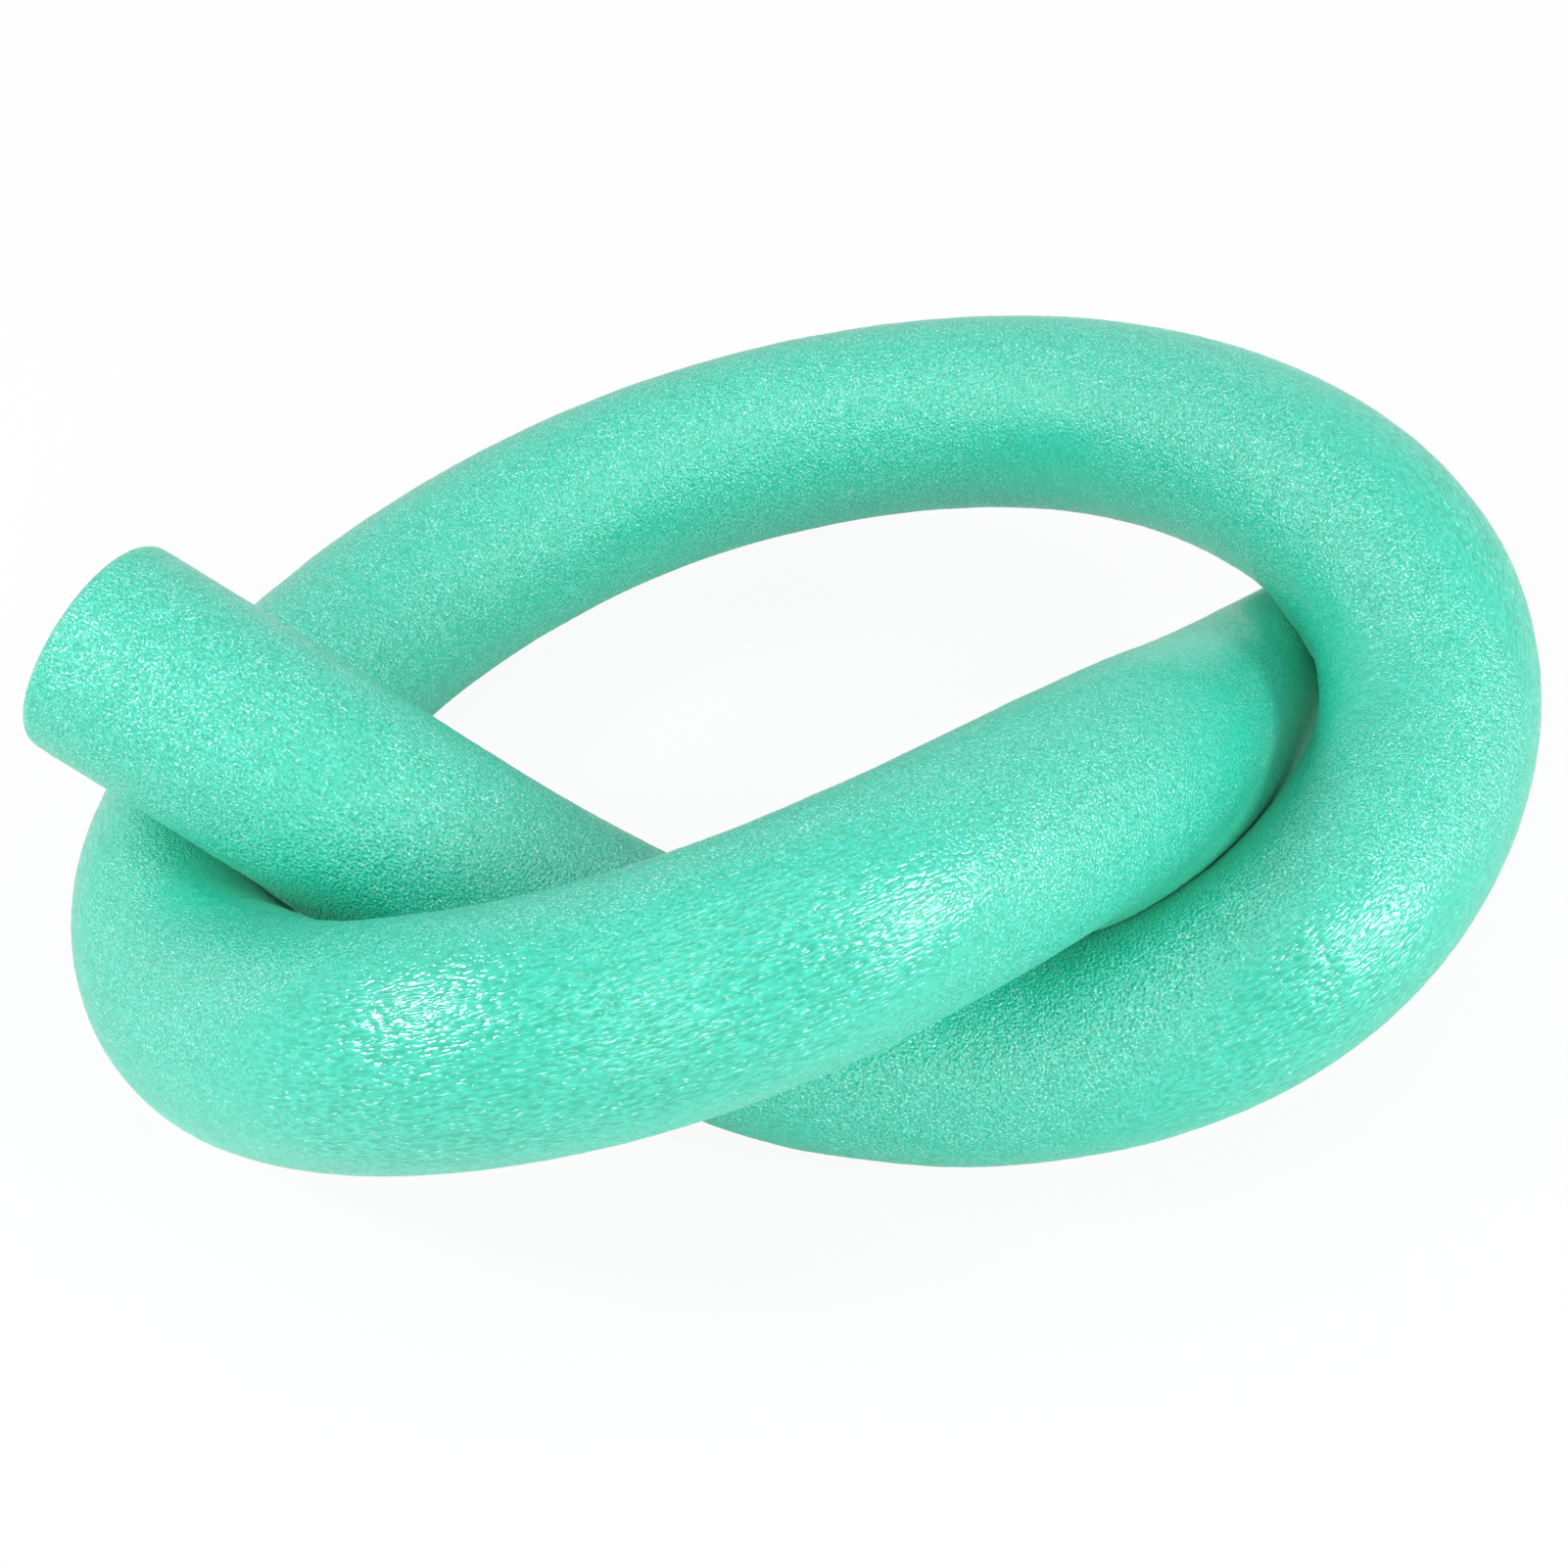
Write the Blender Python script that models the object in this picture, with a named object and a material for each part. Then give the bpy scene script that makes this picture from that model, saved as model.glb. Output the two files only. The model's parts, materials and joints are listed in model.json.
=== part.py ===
"""A pool noodle: one round bar of closed-cell foam with a bore, tied in a loose overhand knot.

The bar lies on a floor at z = 0. It is modelled as the lengths that follow one another along it.
A square cut parts two lengths of the knot, and a ball seat parts two lengths where the bar flexes.
"""
import math

import bmesh
import bpy
import numpy as np

# The bar of foam, in metres.
FOAM_DIAMETER = 0.065
BORE_DIAMETER = 0.020
END_ROUNDING = 0.004

# The knot, measured along the middle of the bar.
KNOT_LENGTH = 0.400
KNOT_DEPTH = 0.320

# Gaps between pieces, and how deep the foam is pressed flat where it lies on the floor.
CUT_GAP = 0.0003
STRAND_CLEARANCE = 0.0008
SEAT_CLEARANCE = 0.0008
FLOOR_FLAT_DEPTH = 0.0008
CUTTER_OVERRUN = 0.020

# The ball seats' radius follows the bar, as it has to be a little wider than the bar.
SEAT_RADIUS_SHARE = 0.62
SEAT_BALL_RADIUS = SEAT_RADIUS_SHARE * FOAM_DIAMETER
SEAT_BANDS = 3

# Facets: sides round the bar and round its bore, and rings for each diameter of its length.
OUTER_SIDES = 24
BORE_SIDES = 12
RINGS_PER_DIAMETER = 4
ROUNDING_STEPS = 3

# Skin faces that meet at more than this angle keep a crisp edge between them.
CREASE_ANGLE = math.radians(35)

# How finely the middle line is followed, how the strands are eased apart where they crowd, and
# how often the search for a ball seat's rim is halved.
LINE_STEPS = 400
SETTLE_ROUNDS = 300
SETTLE_SPREAD_SHARE = 0.45
SETTLE_PUSH_SHARE = 2.0
RIM_HALVINGS = 30

# The bar's middle line from the free end to the tucked end, chosen by hand. Each point is a share
# of the knot's length to the right, a share of its depth to the back, and a height in diameters.
ROUTE_SHARES = [
    (-0.480, -0.007, 1.716),
    (-0.311, -0.090, 1.335),
    (-0.185, -0.126, 0.92),
    (-0.055, -0.165, 0.61),
    (0.050, -0.192, 0.488),
    (0.194, -0.198, 0.54),
    (0.363, -0.134, 0.84),
    (0.478, 0.073, 1.12),
    (0.482, 0.228, 1.42),
    (0.411, 0.388, 1.55),
    (0.254, 0.567, 1.34),
    (0.054, 0.611, 1.07),
    (-0.150, 0.557, 0.73),
    (-0.312, 0.386, 0.515),
    (-0.398, 0.169, 0.485),
    (-0.423, -0.057, 0.515),
    (-0.372, -0.222, 0.62),
    (-0.225, -0.381, 1.27),
    (-0.079, -0.394, 1.64),
    (0.053, -0.312, 1.75),
    (0.184, -0.139, 1.58),
    (0.272, 0.028, 1.24),
    (0.358, 0.242, 0.66),
    (0.485, 0.420, 0.488),
]

# The lengths of the bar in order, each with the share of the bar at which it stops.
STOP_SHARES = {
    "free_tip": 0.0571,
    "free_end": 0.1214,
    "lower_run": 0.1967,
    "lower_right_bend": 0.2820,
    "right_bend": 0.3674,
    "back_right_bend": 0.4578,
    "back_arc": 0.5481,
    "back_left_bend": 0.6385,
    "left_bend": 0.7239,
    "front_left_bend": 0.7992,
    "front_run": 0.8745,
    "front_run_dip": 0.9247,
    "tucked_end": 1.0,
}

# How a length stops: a square cut inside the knot, a ball seat where the bar flexes, whose ball is
# on the knot's side and has its centre at the stop, or the bar's own rounded end.
SQUARE, SEAT_TO_START, SEAT_TO_END, FREE = "square", "seat_to_start", "seat_to_end", "free"
STOP_KINDS = {
    "free_tip": SEAT_TO_START,
    "free_end": SEAT_TO_START,
    "front_run_dip": SEAT_TO_END,
    "tucked_end": FREE,
}

FOAM_COLOUR = (0.105, 0.680, 0.485, 1.0)
FOAM_ROUGHNESS = 0.55


def remove_old_objects():
    """Empties the scene."""
    for old in list(bpy.data.objects):
        bpy.data.objects.remove(old, do_unlink=True)


def through(points, count):
    """A smooth curve through the points: a natural cubic spline, as count + 1 points."""
    chords = np.linalg.norm(np.diff(points, axis=0), axis=1)
    knots = np.concatenate([[0.0], np.cumsum(np.sqrt(chords))])
    spans = np.diff(knots)
    last = len(points) - 1
    system = np.eye(last + 1)
    turns = np.zeros_like(points)
    for i in range(1, last):
        system[i, i - 1:i + 2] = spans[i - 1], 2 * (spans[i - 1] + spans[i]), spans[i]
        slopes = np.diff(points[i - 1:i + 2], axis=0) / spans[i - 1:i + 1, None]
        turns[i] = 6 * (slopes[1] - slopes[0])
    curvature = np.linalg.solve(system, turns)
    at = np.linspace(0, knots[-1], count + 1)
    span = np.clip(np.searchsorted(knots, at, side="right") - 1, 0, last - 1)
    width = spans[span][:, None]
    after = (at - knots[span])[:, None] / width
    before = 1 - after
    bulge = (before ** 3 - before) * curvature[span] + (after ** 3 - after) * curvature[span + 1]
    return before * points[span] + after * points[span + 1] + bulge * width ** 2 / 6


def distances_along(line):
    """How far each point of the line is from its start, measured along it."""
    return np.concatenate([[0.0], np.cumsum(np.linalg.norm(np.diff(line, axis=0), axis=1))])


def evenly_spaced(line):
    """The same line with its points equally far apart."""
    along = distances_along(line)
    even = np.linspace(0, along[-1], len(line))
    return np.stack([np.interp(even, along, line[:, k]) for k in range(3)], axis=-1)


def settled(line):
    """Eases strands apart where two of them crowd each other, and lifts the line off the floor."""
    reach = FOAM_DIAMETER + STRAND_CLEARANCE
    lowest = FOAM_DIAMETER / 2 - FLOOR_FLAT_DEPTH
    for _ in range(SETTLE_ROUNDS):
        line[:, 2] = np.maximum(line[:, 2], lowest)
        along = distances_along(line)
        apart = line[:, None] - line[None]
        distance = np.linalg.norm(apart, axis=2)
        other_strand = np.abs(along[:, None] - along[None]) > math.pi / 2 * reach
        crowding = np.where(other_strand, np.maximum(reach - distance, 0), 0)
        if crowding.max() == 0:
            break
        nearest = crowding.argmax(axis=1)
        rows = np.arange(len(line))
        away = apart[rows, nearest] / np.maximum(distance[rows, nearest], lowest)[:, None]
        push = away * crowding[rows, nearest][:, None]
        spread = SETTLE_SPREAD_SHARE * FOAM_DIAMETER
        weights = np.exp(-((along[:, None] - along[None]) / spread) ** 2)
        eased = weights @ push / weights.sum(axis=1, keepdims=True)
        line = evenly_spaced(line + SETTLE_PUSH_SHARE * eased)
    return line


class Bar:
    """The bar's middle line with a pair of cross directions at each of its points."""

    def __init__(self):
        size = np.array([KNOT_LENGTH, KNOT_DEPTH, FOAM_DIAMETER])
        route = np.array(ROUTE_SHARES) * size
        self.line = settled(evenly_spaced(through(route, LINE_STEPS)))
        self.along = distances_along(self.line)
        self.length = self.along[-1]
        self.tangent = np.gradient(self.line, self.along, axis=0)
        self.tangent /= np.linalg.norm(self.tangent, axis=1, keepdims=True)
        self.across = self.carried_across()
        self.upward = np.cross(self.tangent, self.across)
        self.centre_on_floor()

    def carried_across(self):
        """A cross direction carried along the line without twist, level at the free end."""
        across = np.zeros_like(self.line)
        first = np.cross((0, 0, 1), self.tangent[0])
        across[0] = first / np.linalg.norm(first)
        for i in range(1, len(self.line)):
            turned = across[i - 1] - self.tangent[i] * (across[i - 1] @ self.tangent[i])
            across[i] = turned / np.linalg.norm(turned)
        return across

    def centre_on_floor(self):
        """Moves the line so that the bar's box is centred over the origin."""
        rings = [ring for end, inward in ((0.0, 1), (self.length, -1))
                 for ring in self.rounded_rings(end, inward)]
        plain = (self.along > END_ROUNDING) & (self.along < self.length - END_ROUNDING)
        rings += [self.ring(place, FOAM_DIAMETER / 2, OUTER_SIDES) for place in self.along[plain]]
        skin = np.concatenate(rings)
        self.line[:, :2] -= ((skin.min(axis=0) + skin.max(axis=0)) / 2)[:2]

    def at(self, values, place):
        """The value at one place, a distance along the bar."""
        return np.array([np.interp(place, self.along, values[:, k]) for k in range(3)])

    def middle(self, place):
        """The bar's middle at one place."""
        return self.at(self.line, place)

    def spoke(self, turn, place):
        """The direction from the middle to the skin at one place, at an angle round the bar."""
        return math.cos(turn) * self.at(self.across, place) + math.sin(turn) * self.at(self.upward, place)

    def ring(self, place, radius, sides):
        """Points round the bar in its cross-section."""
        middle = self.middle(place)
        turns = [2 * math.pi * k / sides for k in range(sides)]
        return [middle + radius * self.spoke(turn, place) for turn in turns]

    def rounded_rings(self, end, inward):
        """The rings of a free end's rounded edge, from the skin to the flat face."""
        rings = []
        for step in range(ROUNDING_STEPS + 1):
            turn = math.pi / 2 * step / ROUNDING_STEPS
            inset = END_ROUNDING * (1 - math.cos(turn))
            place = end + inward * END_ROUNDING * (1 - math.sin(turn))
            rings.append(self.ring(place, FOAM_DIAMETER / 2 - inset, OUTER_SIDES))
        return rings

    def ball_ring(self, pivot, radius, sides, ball_radius, way):
        """Points at one radius where the bar crosses a ball round its middle, before or after it."""
        centre = self.middle(pivot)
        points = []
        for k in range(sides):
            turn = 2 * math.pi * k / sides
            near, far = pivot, pivot + way * 2 * ball_radius
            for _ in range(RIM_HALVINGS):
                place = (near + far) / 2
                point = self.middle(place) + radius * self.spoke(turn, place)
                if np.linalg.norm(point - centre) < ball_radius:
                    near = place
                else:
                    far = place
            points.append(point)
        return points


class Stop:
    """Where one length of the bar stops: its outer rim, its end face and its bore's rim."""

    def __init__(self, bar, place, kind, inward):
        """inward is +1 where the length goes on towards the tucked end, and -1 where it goes back."""
        self.bar = bar
        self.place = place
        self.kind = kind
        self.inward = inward
        self.radius = FOAM_DIAMETER / 2
        self.bore = BORE_DIAMETER / 2

    def rings(self):
        """The rings from the outer rim to the bore's rim."""
        if self.kind == FREE:
            rounded = self.bar.rounded_rings(self.place, self.inward)
            return rounded + [self.bar.ring(self.place, self.bore, BORE_SIDES)]
        if self.kind == SQUARE:
            place = self.place + self.inward * CUT_GAP / 2
            outer = self.bar.ring(place, self.radius, OUTER_SIDES)
            return [outer, self.bar.ring(place, self.bore, BORE_SIDES)]
        return self.seat_rings()

    def seat_rings(self):
        """A ball seat: the ball on the knot's side, the hollow on the other."""
        way = -1 if self.kind == SEAT_TO_START else 1
        hollow = self.inward == way
        ball = SEAT_BALL_RADIUS + (SEAT_CLEARANCE if hollow else 0)
        rings = []
        for band in range(SEAT_BANDS + 1):
            radius = self.radius + (self.bore - self.radius) * band / SEAT_BANDS
            sides = BORE_SIDES if band == SEAT_BANDS else OUTER_SIDES
            rings.append(self.bar.ball_ring(self.place, radius, sides, ball, way))
        return rings

    def rim_place(self):
        """Where the plain stretch of the length may begin, clear of this stop."""
        if self.kind == FREE:
            return self.place + self.inward * END_ROUNDING
        if self.kind == SQUARE:
            return self.place
        way = -1 if self.kind == SEAT_TO_START else 1
        return self.place + way * math.sqrt(SEAT_BALL_RADIUS ** 2 - self.radius ** 2)


def join_rings(mesh, first, second):
    """Faces between two rings, the second with as many points as the first or with half as many."""
    step = len(first) // len(second)
    for k in range(len(second)):
        here, after = second[k], second[(k + 1) % len(second)]
        edge = [first[(k * step + j) % len(first)] for j in range(step + 1)]
        if step == 1:
            mesh.faces.new([edge[0], edge[1], after, here])
        else:
            mesh.faces.new([edge[0], edge[1], here])
            mesh.faces.new([edge[1], edge[2], after, here])


def length_mesh(name, bar, start, stop, origin):
    """The closed solid of one length, with its bore, as a mesh about its origin."""
    span = stop.rim_place() - start.rim_place()
    steps = max(2, round(span / FOAM_DIAMETER * RINGS_PER_DIAMETER))
    places = [start.rim_place() + span * k / steps for k in range(1, steps)]
    start_rings, stop_rings = start.rings(), stop.rings()
    outer = [bar.ring(place, FOAM_DIAMETER / 2, OUTER_SIDES) for place in places]
    bore = [bar.ring(place, BORE_DIAMETER / 2, BORE_SIDES) for place in places]
    mesh = bmesh.new()

    def added(ring):
        return [mesh.verts.new(point - origin) for point in ring]

    face_at_start = [added(ring) for ring in start_rings]
    face_at_stop = [added(ring) for ring in stop_rings]
    skin = [face_at_start[0]] + [added(ring) for ring in outer] + [face_at_stop[0]]
    lining = [face_at_start[-1]] + [added(ring) for ring in bore] + [face_at_stop[-1]]
    for rings in (face_at_start, face_at_stop, skin, lining):
        for first, second in zip(rings, rings[1:]):
            join_rings(mesh, first, second)
    bmesh.ops.recalc_face_normals(mesh, faces=mesh.faces)
    data = bpy.data.meshes.new(name)
    mesh.to_mesh(data)
    mesh.free()
    data.shade_smooth()
    data.set_sharp_from_angle(angle=CREASE_ANGLE)
    return data


def foam_material(name):
    """The foam's own finish."""
    material = bpy.data.materials.new(name)
    material.use_nodes = True
    shader = material.node_tree.nodes["Principled BSDF"]
    shader.inputs["Base Color"].default_value = FOAM_COLOUR
    shader.inputs["Roughness"].default_value = FOAM_ROUGHNESS
    shader.inputs["Metallic"].default_value = 0.0
    material.diffuse_color = FOAM_COLOUR
    return material


def floor_cutter(bar):
    """A block under the floor, which presses the bar flat where it lies."""
    depth = FOAM_DIAMETER
    low = bar.line.min(axis=0) - FOAM_DIAMETER - CUTTER_OVERRUN
    high = bar.line.max(axis=0) + FOAM_DIAMETER + CUTTER_OVERRUN
    mesh = bmesh.new()
    bmesh.ops.create_cube(mesh, size=1)
    for vert in mesh.verts:
        vert.co.x = low[0] if vert.co.x < 0 else high[0]
        vert.co.y = low[1] if vert.co.y < 0 else high[1]
        vert.co.z = -depth if vert.co.z < 0 else 0
    data = bpy.data.meshes.new("floor_cutter")
    mesh.to_mesh(data)
    mesh.free()
    cutter = bpy.data.objects.new("floor_cutter", data)
    bpy.context.collection.objects.link(cutter)
    cutter.hide_render = True
    cutter.display_type = "WIRE"
    return cutter


def press_flat(piece, cutter):
    """Cuts a length flat where it would reach below the floor."""
    lowest = min(vert.co.z for vert in piece.data.vertices) + piece.location.z
    if lowest < 0:
        flat = piece.modifiers.new("pressed flat", "BOOLEAN")
        flat.operation = "DIFFERENCE"
        flat.solver = "EXACT"
        flat.object = cutter


def build():
    """Builds the bar, length by length."""
    remove_old_objects()
    bar = Bar()
    noodle = bpy.data.objects.new("noodle", None)
    bpy.context.collection.objects.link(noodle)
    cutter = floor_cutter(bar)
    place, kind = 0.0, FREE
    for name, share in STOP_SHARES.items():
        next_place = share * bar.length
        next_kind = STOP_KINDS.get(name, SQUARE)
        start = Stop(bar, place, kind, 1)
        stop = Stop(bar, next_place, next_kind, -1)
        if kind == SEAT_TO_END:
            origin = bar.middle(place)
        elif next_kind == SEAT_TO_START:
            origin = bar.middle(next_place)
        else:
            origin = bar.middle((place + next_place) / 2)
        piece = bpy.data.objects.new(name, length_mesh(name, bar, start, stop, origin))
        bpy.context.collection.objects.link(piece)
        piece.location = origin
        piece.parent = noodle
        piece.data.materials.append(foam_material(name + "_foam"))
        press_flat(piece, cutter)
        place, kind = next_place, next_kind
    return bar


build()
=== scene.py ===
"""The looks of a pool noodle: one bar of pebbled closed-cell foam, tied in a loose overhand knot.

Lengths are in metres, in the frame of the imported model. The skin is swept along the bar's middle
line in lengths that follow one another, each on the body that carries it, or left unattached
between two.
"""
import json
import logging
import math
from dataclasses import astuple, dataclass, field
from enum import Enum
from typing import Any, Optional, Sequence, Union

import bpy
import numpy as np
from mathutils import Matrix, Vector


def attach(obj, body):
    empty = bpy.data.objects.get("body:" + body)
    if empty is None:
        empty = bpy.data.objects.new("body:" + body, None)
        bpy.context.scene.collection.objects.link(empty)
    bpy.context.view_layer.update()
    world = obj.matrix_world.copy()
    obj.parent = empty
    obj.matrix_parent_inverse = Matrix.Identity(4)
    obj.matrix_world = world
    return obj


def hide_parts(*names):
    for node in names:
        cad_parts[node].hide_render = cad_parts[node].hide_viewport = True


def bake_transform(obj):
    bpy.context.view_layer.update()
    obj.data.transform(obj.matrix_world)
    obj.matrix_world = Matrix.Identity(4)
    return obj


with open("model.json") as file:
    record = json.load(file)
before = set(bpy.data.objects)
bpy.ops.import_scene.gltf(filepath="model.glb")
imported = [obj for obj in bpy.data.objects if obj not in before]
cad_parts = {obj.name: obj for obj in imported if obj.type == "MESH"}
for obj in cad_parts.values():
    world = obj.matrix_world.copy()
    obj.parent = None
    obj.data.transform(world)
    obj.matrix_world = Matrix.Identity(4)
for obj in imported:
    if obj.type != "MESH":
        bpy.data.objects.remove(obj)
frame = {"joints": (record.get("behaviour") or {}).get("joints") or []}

log = logging.getLogger("noodle")

MM = 0.001
WHITE = (1.0, 1.0, 1.0, 1.0)

Socket = bpy.types.NodeSocket
Value = Union[Socket, float, int, str, Sequence[float]]
Colour = tuple[float, float, float, float]
Place = tuple[float, float, float]
Range = tuple[float, float]


class Nodes:
    """Adds nodes to one node tree and links them, so that a tree reads as a list of sums."""

    def __init__(self, tree: bpy.types.NodeTree) -> None:
        """Starts on a tree.

        Args:
            tree: the tree that gets the nodes.
        """
        self.tree = tree

    def add(self, kind: str, inputs: Optional[dict[Any, Value]] = None, **settings: Any) -> bpy.types.Node:
        """Adds a node.

        Args:
            kind: the node's type name.
            inputs: by input name or number, a socket to link or a value to set.
            settings: the node's own properties.

        Returns:
            The new node.
        """
        node = self.tree.nodes.new(kind)
        for name, value in settings.items():
            setattr(node, name, value)
        for key, value in (inputs or {}).items():
            if isinstance(value, Socket):
                self.tree.links.new(value, node.inputs[key])
            else:
                node.inputs[key].default_value = value
        return node

    def math(self, operation: str, *values: Value, clamp: bool = False) -> Socket:
        """A sum of numbers, as a Math node.

        Args:
            operation: the Math node's operation.
            values: its inputs in order.
            clamp: whether the result is kept between 0 and 1.

        Returns:
            The result.
        """
        inputs = dict(enumerate(values))
        return self.add("ShaderNodeMath", inputs, operation=operation, use_clamp=clamp).outputs[0]

    def vector(self, operation: str, *values: Value) -> Socket:
        """A sum of vectors, as a Vector Math node.

        Args:
            operation: the Vector Math node's operation.
            values: its inputs in order; for SCALE, the vector and then the number.

        Returns:
            The vector, or the number where the operation gives one.
        """
        keys = (0, "Scale") if operation == "SCALE" else range(len(values))
        node = self.add("ShaderNodeVectorMath", dict(zip(keys, values)), operation=operation)
        gives_number = operation in ("DOT_PRODUCT", "LENGTH", "DISTANCE")
        return node.outputs["Value" if gives_number else "Vector"]

    def rise(self, value: Value, low: float, high: float) -> Socket:
        """A smooth step from 0 at low to 1 at high.

        Args:
            value: the number that is stepped.
            low: where the step starts.
            high: where it ends.

        Returns:
            The step.
        """
        inputs = {"Value": value, "From Min": low, "From Max": high}
        return self.add("ShaderNodeMapRange", inputs, interpolation_type="SMOOTHSTEP").outputs["Result"]

    def mix(self, share: Value, first: Value, second: Value) -> Socket:
        """A colour between two.

        Args:
            share: how much of the second colour it has.
            first: the colour at 0.
            second: the colour at 1.

        Returns:
            The colour.
        """
        node = self.add("ShaderNodeMix", data_type="RGBA")
        for socket, value in zip((node.inputs[0], node.inputs[6], node.inputs[7]), (share, first, second)):
            if isinstance(value, Socket):
                self.tree.links.new(value, socket)
            else:
                socket.default_value = value
        return node.outputs[2]

    def noise(self, place: Socket, size: float, detail: float = 1.0, rough: float = 0.5,
              shift: Optional[Value] = None) -> Socket:
        """Cloudy noise about 0.

        Args:
            place: where it is read.
            size: how far apart its lumps are, in the units of place.
            detail: how many finer layers it has.
            rough: how strong these are.
            shift: moves the pattern, so that two of them differ.

        Returns:
            A number from about -0.5 to 0.5.
        """
        moved = place if shift is None else self.vector("ADD", place, shift)
        inputs = {"Vector": moved, "Scale": 1 / size, "Detail": detail, "Roughness": rough}
        level = self.add("ShaderNodeTexNoise", inputs).outputs[0]
        return self.math("SUBTRACT", level, 0.5)


class EndKind(Enum):
    """How a length of skin ends."""

    FREE = "the bar's own end, cut square, with a rounded edge"
    JOINED = "at the next length, face to face"


@dataclass(frozen=True)
class FoamSkin:
    """The outer finish: a thin shiny film over fine cells, drawn out where the bar is stretched.

    A range says where its effect starts and where it is full. A shift moves a noise, so that no two
    of them are alike. The colour is lighter on the cells' tops and deeper in their hollows, partly
    their own tone and partly painted shade, and its pale specks are painted glints. Near another
    strand the film is plain and matt, and its colour is darkened to the deep tone as painted shade
    in the crease.
    """

    name: str = "foam_skin"
    deep: Colour = (0.002, 0.500, 0.310, 1.0)
    light: Colour = (0.040, 0.735, 0.545, 1.0)
    # The pale mint of the painted glints.
    painted_glint: Colour = (0.420, 0.950, 0.840, 1.0)
    drawn_range: Range = (0.10, 0.28)
    squeezed_range: Range = (-0.14, -0.32)
    most_squeezed: float = 0.5
    dash_length: float = 2.6
    wrinkle_width: float = 4.0
    film_layers: float = 0.5
    finer_layers: float = 0.6
    cell: float = 0.86 * MM
    cell_shift: Place = (0.0, 0.0, 0.0)
    cell_depth: float = 0.66 * MM
    cell_depth_squeezed: float = -0.3
    cell_tones_and_shade: Range = (-0.30, 0.30)
    cloud: float = 5 * MM
    cloud_shift: Place = (0.8, 0.5, 0.2)
    cloud_layers: float = 3.0
    cloud_tone: float = 0.3
    painted_glint_size: float = 0.55 * MM
    painted_glint_shift: Place = (0.5, 0.3, 0.6)
    painted_glint_range: Range = (0.07, 0.26)
    painted_glint_clouded: float = 0.15
    painted_glint_squeezed: float = -0.06
    painted_glint_drawn: float = -0.05
    gloss: float = 1.0
    haze: float = 1.6 * MM
    haze_shift: Place = (0.2, 0.9, 0.4)
    haze_layers: float = 2.0
    haze_rough: float = 0.3
    rough: float = 0.18
    rough_drawn: float = -0.05
    rough_squeezed: float = 0.20
    rough_least: float = 0.10
    rough_nearby: float = 0.9
    sheen: float = 0.30
    sheen_rough: float = 0.35
    sheen_tint: Colour = (0.25, 1.0, 0.78, 1.0)

    def film(self, nodes: Nodes, rest: Socket, drawn: Socket, squeezed: Socket, size: float,
             shift: Place) -> Socket:
        """Noise with the film's grain: round cells, long where drawn and wide where squeezed.

        Args:
            nodes: the tree.
            rest: the place on the straight bar.
            drawn: how much the film is drawn out there.
            squeezed: how much it is squeezed.
            size: how large the cells are.
            shift: moves the pattern.

        Returns:
            The noise, about 0.
        """
        long_way = nodes.vector("MULTIPLY", rest, (1.0, 1.0, 1 / self.dash_length))
        wide_way = nodes.vector("MULTIPLY", rest, (1 / self.wrinkle_width, 1 / self.wrinkle_width, 1.0))
        cells, dashes, wrinkles = (
            nodes.noise(place, size, self.film_layers, self.finer_layers, shift)
            for place in (rest, long_way, wide_way))
        mixed = nodes.add("ShaderNodeMix", {"Factor": drawn, "A": cells, "B": dashes}).outputs[0]
        return nodes.add("ShaderNodeMix", {"Factor": squeezed, "A": mixed, "B": wrinkles}).outputs[0]

    def material(self) -> bpy.types.Material:
        """Builds the finish.

        Returns:
            The material, which reads the skin's own rest, strain and nearby attributes.
        """
        made = bpy.data.materials.new(self.name)
        made.use_nodes = True
        nodes = Nodes(made.node_tree)
        shader = made.node_tree.nodes["Principled BSDF"]
        rest = nodes.add("ShaderNodeAttribute", attribute_name="rest").outputs["Vector"]
        strain = nodes.add("ShaderNodeAttribute", attribute_name="strain").outputs["Fac"]
        nearby = nodes.add("ShaderNodeAttribute", attribute_name="nearby").outputs["Fac"]
        # Near another strand the colour is darkened to the deep tone and the painted glints fade: painted
        # shade in the crease.
        outside_crease_shade = nodes.math("SUBTRACT", 1.0, nearby)
        drawn = nodes.rise(strain, *self.drawn_range)
        squeezed = nodes.math("MULTIPLY", nodes.rise(strain, *self.squeezed_range), self.most_squeezed)

        height = self.film(nodes, rest, drawn, squeezed, self.cell, self.cell_shift)
        deep = nodes.math("MULTIPLY_ADD", squeezed, self.cell_depth_squeezed, 1.0)
        height = nodes.math("MULTIPLY", height, deep)
        bump = nodes.add("ShaderNodeBump", {"Height": height, "Strength": 1.0, "Distance": self.cell_depth})

        cloud = nodes.noise(rest, self.cloud, self.cloud_layers, self.finer_layers, self.cloud_shift)
        # The colour follows the cells' height, lighter on their tops and deeper in their hollows: partly the
        # cells' own tone, partly painted shade.
        cells = nodes.rise(height, *self.cell_tones_and_shade)
        tone_and_shade = nodes.math("MULTIPLY_ADD", cloud, self.cloud_tone, cells, clamp=True)
        colour = nodes.mix(nodes.math("MULTIPLY", tone_and_shade, outside_crease_shade), self.deep, self.light)

        # Pale specks painted into the colour stand for glints: painted highlights, fewer where the film is
        # squeezed or drawn.
        painted_glints = self.film(nodes, rest, drawn, squeezed, self.painted_glint_size, self.painted_glint_shift)
        for level, share in ((cloud, self.painted_glint_clouded), (squeezed, self.painted_glint_squeezed),
                             (drawn, self.painted_glint_drawn)):
            painted_glints = nodes.math("MULTIPLY_ADD", level, share, painted_glints)
        painted_glints = nodes.math("MULTIPLY", nodes.rise(painted_glints, *self.painted_glint_range), outside_crease_shade)
        colour = nodes.mix(painted_glints, colour, self.painted_glint)

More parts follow.
